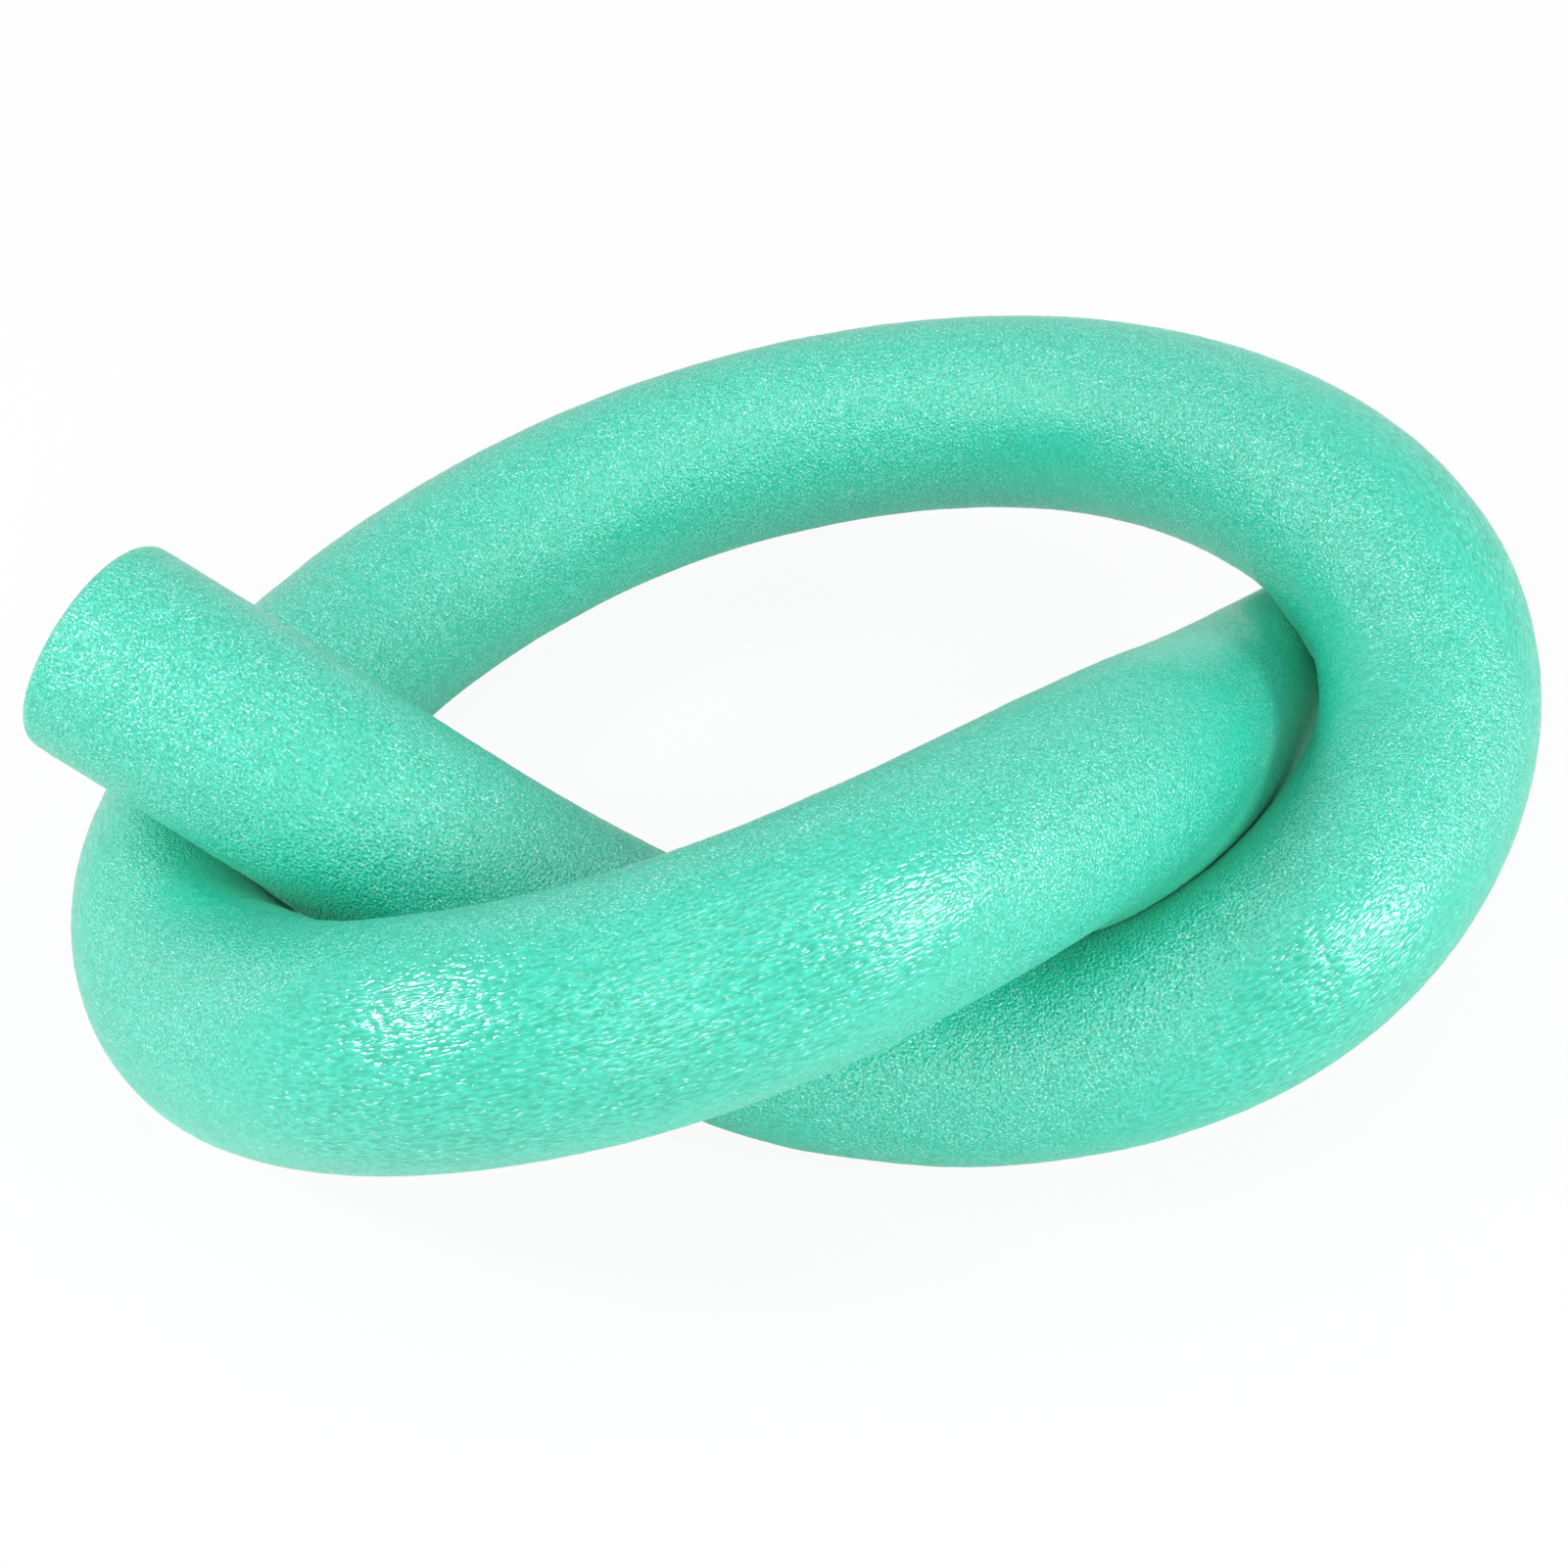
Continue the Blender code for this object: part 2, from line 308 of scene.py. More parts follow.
        haze = nodes.noise(rest, self.haze, self.haze_layers, self.finer_layers, self.haze_shift)
        rough = nodes.math("MULTIPLY_ADD", haze, self.haze_rough, self.rough)
        rough = nodes.math("MULTIPLY_ADD", drawn, self.rough_drawn, rough)
        rough = nodes.math("MULTIPLY_ADD", squeezed, self.rough_squeezed, rough)
        least = nodes.math("MAXIMUM", nodes.math("MULTIPLY", nearby, self.rough_nearby), self.rough_least)

        links = made.node_tree.links
        links.new(colour, shader.inputs["Base Color"])
        links.new(nodes.math("MAXIMUM", rough, least), shader.inputs["Roughness"])
        links.new(bump.outputs["Normal"], shader.inputs["Normal"])
        shader.inputs["Specular IOR Level"].default_value = self.gloss
        shader.inputs["Sheen Weight"].default_value = self.sheen
        shader.inputs["Sheen Roughness"].default_value = self.sheen_rough
        shader.inputs["Sheen Tint"].default_value = self.sheen_tint
        return made


@dataclass(frozen=True)
class FoamCut:
    """The cut finish: open cells on the end faces, and the plainer lining of the bore."""

    name: str = "foam_cut"
    light: Colour = (0.190, 0.790, 0.610, 1.0)
    deep: Colour = (0.050, 0.480, 0.310, 1.0)
    cell: float = 1.5 * MM
    depth: float = 0.5 * MM
    depth_share: float = 0.8
    wall_range: Range = (0.32, 0.03)
    pit_painted_shade: float = 0.35
    wall_tone: float = 0.6
    rough: float = 0.62

    def material(self) -> bpy.types.Material:
        """Builds the finish.

        Returns:
            The material, with one pit to a cell, painted deeper than the walls round it as painted shade.
        """
        made = bpy.data.materials.new(self.name)
        made.use_nodes = True
        nodes = Nodes(made.node_tree)
        shader = made.node_tree.nodes["Principled BSDF"]
        rest = nodes.add("ShaderNodeAttribute", attribute_name="rest").outputs["Vector"]
        cells = nodes.add("ShaderNodeTexVoronoi", {"Vector": rest, "Scale": 1 / self.cell},
                          feature="DISTANCE_TO_EDGE")
        wall = nodes.rise(cells.outputs["Distance"], *self.wall_range)
        bump = nodes.add("ShaderNodeBump", {
            "Height": wall, "Strength": self.depth_share, "Distance": self.depth})
        # The pits are painted deeper than their walls: painted shade in the hollows.
        tone_and_shade = nodes.math("MULTIPLY_ADD", wall, self.wall_tone, self.pit_painted_shade)
        links = made.node_tree.links
        links.new(nodes.mix(tone_and_shade, self.deep, self.light), shader.inputs["Base Color"])
        links.new(bump.outputs["Normal"], shader.inputs["Normal"])
        shader.inputs["Roughness"].default_value = self.rough
        return made


@dataclass
class MiddleLine:
    """The bar's middle line, with a pair of cross directions and its bend at each point.

    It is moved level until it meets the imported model's pivot joint at its share of the length.
    """

    knot_length: float = 0.400
    knot_depth: float = 0.320
    foam_diameter: float = 0.065
    floor_flat_depth: float = 0.0008
    steps: int = 1600
    pivot_joint: str = "free_end_lift"
    pivot_share: float = 0.1214
    # Listed from the free end to the tucked end: a share of the knot's length to the
    # right, a share of its depth to the back, and a height in diameters.
    route_shares: tuple[Place, ...] = (
        (-0.480, -0.007, 1.716),
        (-0.311, -0.090, 1.335),
        (-0.185, -0.126, 0.92),
        (-0.055, -0.165, 0.61),
        (0.050, -0.192, 0.488),
        (0.194, -0.198, 0.54),
        (0.363, -0.134, 0.84),
        (0.478, 0.073, 1.12),
        (0.482, 0.228, 1.42),
        (0.411, 0.388, 1.55),
        (0.254, 0.567, 1.34),
        (0.054, 0.611, 1.07),
        (-0.150, 0.557, 0.73),
        (-0.312, 0.386, 0.515),
        (-0.398, 0.169, 0.485),
        (-0.423, -0.057, 0.515),
        (-0.372, -0.222, 0.62),
        (-0.225, -0.381, 1.27),
        (-0.079, -0.394, 1.64),
        (0.053, -0.312, 1.75),
        (0.184, -0.139, 1.58),
        (0.272, 0.028, 1.24),
        (0.358, 0.242, 0.66),
        (0.485, 0.420, 0.488),
    )
    line: np.ndarray = field(init=False, repr=False)
    along: np.ndarray = field(init=False, repr=False)
    tangent: np.ndarray = field(init=False, repr=False)
    bend: np.ndarray = field(init=False, repr=False)
    across: np.ndarray = field(init=False, repr=False)
    upward: np.ndarray = field(init=False, repr=False)

    def __post_init__(self) -> None:
        """Works out the line and what goes with each of its points."""
        size = np.array([self.knot_length, self.knot_depth, self.foam_diameter])
        self.line = self.evenly_spaced(self.through(np.array(self.route_shares) * size))
        self.line[:, 2] = np.maximum(self.line[:, 2], self.foam_diameter / 2 - self.floor_flat_depth)
        self.along = self.distances(self.line)
        pivot = self.joint_place(self.pivot_joint)
        self.line[:, :2] += (pivot - self.at(self.line, self.pivot_share * self.length))[:2]
        self.tangent = np.gradient(self.line, self.along, axis=0)
        self.tangent /= np.linalg.norm(self.tangent, axis=1, keepdims=True)
        self.bend = np.gradient(self.tangent, self.along, axis=0)
        self.across = self.carried_across()
        self.upward = np.cross(self.tangent, self.across)

    @property
    def length(self) -> float:
        """The bar's length, in metres."""
        return float(self.along[-1])

    @staticmethod
    def joint_place(name: str) -> np.ndarray:
        """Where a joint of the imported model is.

        Args:
            name: the joint's name.

        Returns:
            Its place.
        """
        return np.array(next(joint["pos_m"] for joint in frame["joints"] if joint["name"] == name))

    @staticmethod
    def distances(line: np.ndarray) -> np.ndarray:
        """How far each point of a line is from its start, measured along it.

        Args:
            line: the line's points.

        Returns:
            The distances.
        """
        return np.concatenate([[0.0], np.cumsum(np.linalg.norm(np.diff(line, axis=0), axis=1))])

    def evenly_spaced(self, line: np.ndarray) -> np.ndarray:
        """The same line with its points equally far apart.

        Args:
            line: the line's points.

        Returns:
            As many points.
        """
        along = self.distances(line)
        even = np.linspace(0, along[-1], len(line))
        return np.stack([np.interp(even, along, line[:, k]) for k in range(3)], axis=-1)

    def through(self, points: np.ndarray) -> np.ndarray:
        """A natural cubic spline through points.

        Args:
            points: the points.

        Returns:
            The curve's points.
        """
        chords = np.linalg.norm(np.diff(points, axis=0), axis=1)
        knots = np.concatenate([[0.0], np.cumsum(np.sqrt(chords))])
        spans = np.diff(knots)
        last = len(points) - 1
        system = np.eye(last + 1)
        turns = np.zeros_like(points)
        for i in range(1, last):
            system[i, i - 1:i + 2] = spans[i - 1], 2 * (spans[i - 1] + spans[i]), spans[i]
            slopes = np.diff(points[i - 1:i + 2], axis=0) / spans[i - 1:i + 1, None]
            turns[i] = 6 * (slopes[1] - slopes[0])
        curvature = np.linalg.solve(system, turns)
        at = np.linspace(0, knots[-1], self.steps + 1)
        span = np.clip(np.searchsorted(knots, at, side="right") - 1, 0, last - 1)
        width = spans[span][:, None]
        after = (at - knots[span])[:, None] / width
        before = 1 - after
        bulge = (before ** 3 - before) * curvature[span] + (after ** 3 - after) * curvature[span + 1]
        return before * points[span] + after * points[span + 1] + bulge * width ** 2 / 6

    def carried_across(self) -> np.ndarray:
        """A cross direction carried along the line without twist, level at the free end.

        Returns:
            The direction at each point.
        """
        across = np.zeros_like(self.line)
        first = np.cross((0, 0, 1), self.tangent[0])
        across[0] = first / np.linalg.norm(first)
        for i in range(1, len(self.line)):
            turned = across[i - 1] - self.tangent[i] * (across[i - 1] @ self.tangent[i])
            across[i] = turned / np.linalg.norm(turned)
        return across

    def at(self, values: np.ndarray, places: Union[float, np.ndarray]) -> np.ndarray:
        """Values of the line at places along it.

        Args:
            values: one of the line's own arrays.
            places: distances along the bar.

        Returns:
            The values there.
        """
        return np.stack([np.interp(places, self.along, values[:, k]) for k in range(3)], axis=-1)


@dataclass(frozen=True)
class SkinRelief:
    """How the skin stands up and sinks: each height is the most that its own pattern adds."""

    swell: float = 0.25 * MM
    swell_size: float = 26 * MM
    pebble: float = 0.16 * MM
    pebble_size: float = 3.2 * MM
    streak: float = 0.14 * MM
    streak_size: float = 2.2 * MM
    streak_length: float = 6.0
    crease: float = 0.30 * MM
    crease_size: float = 4.0 * MM
    crease_width: float = 5.0
    pit: float = 0.25 * MM
    pit_layers: float = 2.0
    drawn_range: Range = (0.0, 0.25)
    squeezed_range: Range = (-0.06, -0.30)
    seed: float = 7.0


class SkinTree:
    """The node tree that sweeps a length of skin round its outline and raises its relief."""

    # A noise reaches from -0.5 to 0.5, and a height twice as far.
    NOISE_TO_HEIGHT = 2.0
    # The floor is at 0, and the object is far inside a metre to either side.
    LOWEST = (-1.0, -1.0, 0.0)
    # Points have 0 or 1, and edges and faces the mean of theirs: an edge is creased where both of
    # its points are, and a face is inner where any of its points is.
    CREASED = 0.99
    INNER = 0.01
    INPUTS = (
        ("Sides", "NodeSocketInt"),
        ("Swell", "NodeSocketFloat"),
        ("Pebble", "NodeSocketFloat"),
        ("Streak", "NodeSocketFloat"),
        ("Crease", "NodeSocketFloat"),
        ("Pit", "NodeSocketFloat"),
        ("Seed", "NodeSocketFloat"),
        ("Skin", "NodeSocketMaterial"),
        ("Cut", "NodeSocketMaterial"),
    )

    def __init__(self, relief: SkinRelief) -> None:
        """Builds the tree.

        Args:
            relief: the sizes of the skin's patterns.
        """
        self.relief = relief
        self.tree = bpy.data.node_groups.new("sweep_skin", "GeometryNodeTree")
        self.nodes = Nodes(self.tree)
        face = self.tree.interface
        face.new_socket("Geometry", in_out="INPUT", socket_type="NodeSocketGeometry")
        for name, kind in self.INPUTS:
            face.new_socket(name, in_out="INPUT", socket_type=kind)
        face.new_socket("Geometry", in_out="OUTPUT", socket_type="NodeSocketGeometry")
        self.given = self.nodes.add("NodeGroupInput").outputs
        swept = self.swept()
        raised = self.raised(swept)
        self.finish(raised)

    def named(self, name: str, kind: str = "FLOAT") -> Socket:
        """An attribute of the mesh.

        Args:
            name: the attribute's name.
            kind: its data type.

        Returns:
            Its values.
        """
        return self.nodes.add("GeometryNodeInputNamedAttribute", {"Name": name}, data_type=kind).outputs[0]

    def kept(self, geometry: Socket, name: str, value: Socket, kind: str = "FLOAT") -> Socket:
        """Keeps values as an attribute.

        Args:
            geometry: what gets it.
            name: the attribute's name.
            value: its values.
            kind: its data type.

        Returns:
            The geometry with it.
        """
        inputs = {"Geometry": geometry, "Name": name, "Value": value}
        return self.nodes.add("GeometryNodeStoreNamedAttribute", inputs, data_type=kind).outputs[0]

    def swept(self) -> Socket:
        """Sweeps a circle round the outline.

        Returns:
            The mesh, whose points know their angle round the bar.
        """
        nodes = self.nodes
        outline = nodes.add("GeometryNodeMeshToCurve", {"Mesh": self.given["Geometry"]}).outputs[0]
        circle = nodes.add("GeometryNodeCurvePrimitiveCircle", {"Resolution": self.given["Sides"]}).outputs[0]
        index = nodes.add("GeometryNodeInputIndex").outputs[0]
        share = nodes.math("DIVIDE", index, self.given["Sides"])
        circle = self.kept(circle, "turn", nodes.math("MULTIPLY", share, math.tau))
        return nodes.add("GeometryNodeCurveToMesh", {"Curve": outline, "Profile Curve": circle}).outputs[0]

    def raised(self, mesh: Socket) -> Socket:
        """Places each point on the bar, with the relief of its own stretch of skin.

        Args:
            mesh: the swept mesh.

        Returns:
            The mesh in place, with its rest and strain attributes.
        """
        nodes, relief = self.nodes, self.relief
        turn, reach, station = self.named("turn"), self.named("reach"), self.named("station")
        cosine, sine = nodes.math("COSINE", turn), nodes.math("SINE", turn)
        across = nodes.vector("SCALE", self.named("across", "FLOAT_VECTOR"), cosine)
        upward = nodes.vector("SCALE", self.named("upward", "FLOAT_VECTOR"), sine)
        spoke = nodes.vector("ADD", across, upward)
        rest = nodes.add("ShaderNodeCombineXYZ", {
            "X": nodes.math("MULTIPLY", reach, cosine),
            "Y": nodes.math("MULTIPLY", reach, sine),
            "Z": station}).outputs[0]
        bent = nodes.vector("DOT_PRODUCT", self.named("bend", "FLOAT_VECTOR"), spoke)
        strain = nodes.math("MULTIPLY", nodes.math("MULTIPLY", bent, reach), -1.0)
        mesh = self.kept(mesh, "rest", rest, "FLOAT_VECTOR")
        mesh = self.kept(mesh, "strain", strain)

        seed = nodes.add("ShaderNodeCombineXYZ", {"Z": self.given["Seed"]}).outputs[0]
        seeded = nodes.vector("ADD", rest, seed)
        drawn = nodes.rise(strain, *relief.drawn_range)
        squeezed = nodes.rise(strain, *relief.squeezed_range)
        along = nodes.vector("MULTIPLY", seeded, (1.0, 1.0, 1 / relief.streak_length))
        around = nodes.vector("MULTIPLY", seeded, (1 / relief.crease_width, 1 / relief.crease_width, 1.0))
        swell, pebble, streak, crease = (
            nodes.math("MULTIPLY", nodes.noise(place, size), self.given[name]) for place, size, name in (
                (seeded, relief.swell_size, "Swell"), (seeded, relief.pebble_size, "Pebble"),
                (along, relief.streak_size, "Streak"), (around, relief.crease_size, "Crease")))
        height = nodes.math("ADD", swell, pebble)
        height = nodes.math("ADD", height, nodes.math("MULTIPLY", streak, drawn))
        height = nodes.math("ADD", height, nodes.math("MULTIPLY", crease, squeezed))
        height = nodes.math("MULTIPLY", height, self.NOISE_TO_HEIGHT)
        height = nodes.math("MULTIPLY", height, self.named("skin"))

        place = nodes.vector("SCALE", spoke, nodes.math("ADD", reach, height))
        place = nodes.vector("ADD", self.named("middle", "FLOAT_VECTOR"), place)
        pits = nodes.noise(seeded, relief.pebble_size, relief.pit_layers)
        pitted = nodes.math("MULTIPLY", pits, self.given["Pit"])
        pitted = nodes.math("MULTIPLY", pitted, self.named("cut"))
        sunk = nodes.vector("SCALE", self.named("along", "FLOAT_VECTOR"), pitted)
        place = nodes.vector("MAXIMUM", nodes.vector("ADD", place, sunk), self.LOWEST)
        return nodes.add("GeometryNodeSetPosition", {"Geometry": mesh, "Position": place}).outputs[0]

    def finish(self, mesh: Socket) -> None:
        """Shades the mesh, gives it its two finishes and ends the tree.

        Args:
            mesh: the mesh in place.
        """
        nodes = self.nodes
        crisp = nodes.math("GREATER_THAN", self.named("crease"), self.CREASED)
        mesh = nodes.add("GeometryNodeSetShadeSmooth", {"Geometry": mesh, "Shade Smooth": True}).outputs[0]
        mesh = nodes.add("GeometryNodeSetShadeSmooth", {
            "Geometry": mesh, "Selection": crisp, "Shade Smooth": False}, domain="EDGE").outputs[0]
        mesh = nodes.add("GeometryNodeRealizeInstances", {"Geometry": mesh}).outputs[0]
        mesh = nodes.add("GeometryNodeSetMaterial", {
            "Geometry": mesh, "Material": self.given["Skin"]}).outputs[0]
        inner = nodes.math("GREATER_THAN", self.named("inner"), self.INNER)
        mesh = nodes.add("GeometryNodeSetMaterial", {
            "Geometry": mesh, "Selection": inner, "Material": self.given["Cut"]}).outputs[0]
        nodes.add("NodeGroupOutput", {"Geometry": mesh})

    def put_on(self, piece: bpy.types.Object, sides: int, skin: bpy.types.Material,
               cut: bpy.types.Material) -> None:
        """Puts the tree on an outline, with its inputs set before it is first evaluated.

        Args:
            piece: the object that holds the outline.
            sides: how many sides the skin has round the bar.
            skin: the outer finish.
            cut: the finish of what is cut.
        """
        relief = self.relief
        values = {
            "Sides": sides, "Swell": relief.swell, "Pebble": relief.pebble, "Streak": relief.streak,
            "Crease": relief.crease, "Pit": relief.pit, "Seed": relief.seed, "Skin": skin, "Cut": cut,
        }
        modifier = piece.modifiers.new("sweep", "NODES")
        modifier.node_group = self.tree
        for item in self.tree.interface.items_tree:
            if item.in_out == "INPUT" and item.name in values:
                modifier[item.identifier] = values[item.name]


@dataclass(frozen=True)
class Grip:
    """Which gaps to another strand the skin closes, which it leaves, and what it keeps clear."""

    closed: float
    left_open: float
    clearance: float


@dataclass(frozen=True)
class StrandContact:
    """How the soft skin gives where two strands of the knot lie on each other.

    The free tip swings on the strand below it, so its skin stays loose up to a place along the bar,
    and the strand below meets it a little way up just before that place. A range says where its
    effect starts and where it is full.
    """

    # Places this far apart along the bar are on two strands, and this much of one is searched.
    strand_gap: float = 0.110
    window: float = 0.070
    firm: Grip = Grip(closed=2.4 * MM, left_open=7.0 * MM, clearance=0.12 * MM)
    loose: Grip = Grip(closed=1.4 * MM, left_open=2.6 * MM, clearance=0.85 * MM)
    firm_range: Range = (0.085, 0.130)
    even_share: float = 0.5
    higher_share: float = 0.95
    meeting_share: float = 0.30
    meeting_range: Range = (0.085, 0.103)
    parting_range: Range = (0.112, 0.135)
    nearby_range: Range = (14.0 * MM, 3.0 * MM)
    chunk: int = 20000

    def partners(self, line: MiddleLine) -> tuple[np.ndarray, np.ndarray]:
        """For each point of the middle line, the nearest point of another strand.

        Args:
            line: the bar's middle line.

        Returns:
            The other points' numbers and their distances.
        """
        apart = np.linalg.norm(line.line[:, None] - line.line[None], axis=2)
        apart[abs(line.along[:, None] - line.along[None]) < self.strand_gap] = np.inf
        return apart.argmin(axis=1), apart.min(axis=1)

    @staticmethod
    def eased(values: np.ndarray, low: Union[float, np.ndarray],
              high: Union[float, np.ndarray]) -> np.ndarray:
        """A smooth step from 0 at low to 1 at high.

        Args:
            values: the numbers that are stepped.
            low: where the step starts.
            high: where it ends.

        Returns:
            The steps.
        """
        share = np.clip((values - low) / (high - low), 0, 1)
        return share * share * (3 - 2 * share)

    def press(self, mesh: bpy.types.Mesh, line: MiddleLine, radius: float) -> None:
        """Presses a length's skin against the strand next to it, the higher one most of the way.

        Args:
            mesh: the length's mesh, which also gets its nearby attribute.
            line: the bar's middle line.
            radius: the bar's radius.
        """
        count = len(mesh.vertices)
        place = np.zeros(count * 3, np.float32)
        mesh.vertices.foreach_get("co", place)
        place = place.reshape(-1, 3).astype(float)
        station, reach = np.zeros(count, np.float32), np.zeros(count, np.float32)
        mesh.attributes["station"].data.foreach_get("value", station)
        mesh.attributes["reach"].data.foreach_get("value", reach)
        partner, apart = self.partners(line)
        number = np.clip(np.searchsorted(line.along, station), 0, len(line.along) - 1)
        close = apart[number] < 2 * radius + self.nearby_range[0]
        touched = np.flatnonzero(close & (reach > radius / 2))
        higher = (line.line[number, 2] - line.line[partner[number], 2]) / radius
        other = line.along[partner[number]]
        met = self.eased(other, *self.meeting_range) * (1 - self.eased(other, *self.parting_range))
        share = self.even_share + (self.higher_share - self.even_share) * np.clip(higher, -1, 1)
        share += self.meeting_share * met
        hold = self.eased(station, *self.firm_range)
        closed, left_open, clearance = (
            hold * firm + (1 - hold) * loose
            for firm, loose in zip(astuple(self.firm), astuple(self.loose)))
        half = round(self.window / line.along[1])
        offsets = np.arange(-half, half + 1)
        nearby = np.zeros(count, np.float32)
        for start in range(0, len(touched), self.chunk):
            rows = touched[start:start + self.chunk]
            near = np.clip(partner[number[rows]][:, None] + offsets, 0, len(line.along) - 1)
            away = line.line[near] - place[rows][:, None]
            far = np.linalg.norm(away, axis=2)
            best = far.argmin(axis=1)
            each = np.arange(len(rows))
            gap = far[each, best] - radius
            nearby[rows] = self.eased(gap, *self.nearby_range)
            taken = 1 - self.eased(gap, closed[rows], left_open[rows])
            step = taken * np.maximum(gap * share[rows] - clearance[rows], 0)
            place[rows] += away[each, best] / far[each, best][:, None] * step[:, None]
        mesh.vertices.foreach_set("co", place.astype(np.float32).ravel())
        # The nearby attribute also darkens the skin's colour near the other strand, as painted shade in the
        # crease.
        mesh.attributes.new("nearby", "FLOAT", "POINT").data.foreach_set("value", nearby)
        mesh.update()


@dataclass
class SkinLength:
    """One length of the bar's skin, closed by its end faces and the lining of its bore."""

    name: str
    start: float
    stop: float
    bodies: tuple[str, ...]
    replaces: tuple[str, ...]
    start_kind: EndKind = EndKind.JOINED
    stop_kind: EndKind = EndKind.JOINED
    bend: Range = (0.0, 0.0)
    radius: float = 0.0325
    bore: float = 0.010
    rounding: float = 0.004
    ring_gap: float = 0.85 * MM
    bore_gap: float = 8 * MM
    rounding_steps: int = 7

    def end_rings(self, place: float, inward: int, kind: EndKind) -> list[tuple[float, ...]]:
        """The rings from the skin's rim to the bore's, at one end.

        Args:
            place: where the end is, along the bar.
            inward: +1 at the start and -1 at the stop.
            kind: how the length ends.

        Returns:
            For each ring its station, reach, skin, cut, inner and crease values.
        """
        if kind is EndKind.JOINED:
            return [(place, self.radius, 1, 0, 0, 1), (place, self.bore, 0, 0, 1, 1)]
        rings = []
        for step in range(self.rounding_steps + 1):
            turn = math.pi / 2 * step / self.rounding_steps
            station = place + inward * self.rounding * (1 - math.sin(turn))
            rings.append((station, self.radius - self.rounding * (1 - math.cos(turn)), 1, 0, 0, 0))
        flat = self.radius - self.rounding - self.bore
        count = round(flat / self.ring_gap)
        for step in range(1, count + 1):
            last = step == count
            rings.append((place, self.radius - self.rounding - flat * step / count, 0, 1 - last, 1, last))
        return rings

    def outline(self) -> np.ndarray:
        """The rings in order round the solid: out along the skin and back along the bore.

        Returns:
            For each ring its station, reach, skin, cut, inner and crease values.
        """
        first = self.end_rings(self.start, 1, self.start_kind)
        last = self.end_rings(self.stop, -1, self.stop_kind)
        skin_start, skin_stop = first[0][0], last[0][0]
        skin_count = round((skin_stop - skin_start) / self.ring_gap)
        skin_places = np.linspace(skin_start, skin_stop, skin_count + 1)[1:-1]
        skin = [(place, self.radius, 1, 0, 0, 0) for place in skin_places]
        bore_count = round((self.stop - self.start) / self.bore_gap)
        bore_places = np.linspace(self.stop, self.start, bore_count + 1)[1:-1]
        bore = [(place, self.bore, 0, 0, 1, 0) for place in bore_places]
        return np.array([first[0], *skin, *last, *bore, *first[:0:-1]], float)

    def build(self, line: MiddleLine, tree: SkinTree, sides: int, skin: bpy.types.Material,
              cut: bpy.types.Material) -> bpy.types.Object:
        """Sweeps the length and leaves it as a plain mesh.

        Args:
            line: the bar's middle line.
            tree: the node tree that sweeps it.
            sides: how many sides the skin has round the bar.
            skin: the outer finish.
            cut: the finish of what is cut.

        Returns:
            The piece, in place.
        """
        rings = self.outline()
        station = rings[:, 0]
        count = len(rings)
        mesh = bpy.data.meshes.new(self.name)
        mesh.from_pydata(line.at(line.line, station), [(k, (k + 1) % count) for k in range(count)], [])
        frames = {"middle": line.line, "across": line.across, "upward": line.upward,
                  "bend": line.bend, "along": line.tangent}
        for name, values in frames.items():
            column = mesh.attributes.new(name, "FLOAT_VECTOR", "POINT")
            column.data.foreach_set("vector", line.at(values, station).astype(np.float32).ravel())
        for k, name in enumerate(("station", "reach", "skin", "cut", "inner", "crease")):
            column = mesh.attributes.new(name, "FLOAT", "POINT")
            column.data.foreach_set("value", rings[:, k].astype(np.float32))
        piece = bpy.data.objects.new(self.name, mesh)
        bpy.context.scene.collection.objects.link(piece)
        tree.put_on(piece, sides, skin, cut)
        evaluated = piece.evaluated_get(bpy.context.evaluated_depsgraph_get())
        swept = bpy.data.meshes.new_from_object(evaluated, preserve_all_data_layers=True,
                                                depsgraph=bpy.context.evaluated_depsgraph_get())
        piece.modifiers.clear()
        piece.data = swept
        swept.name = self.name
        bpy.data.meshes.remove(mesh)
        return piece

    def attach(self, piece: bpy.types.Object, line: MiddleLine) -> None:
        """Puts the piece on the body that it moves with, unless it lies between two, and hides the solids
        that it stands for.

        Args:
            piece: the finished piece.
            line: not used.
        """
        if len(self.bodies) == 2:
            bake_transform(piece)
        else:
            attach(piece, self.bodies[0])
        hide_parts(*self.replaces)


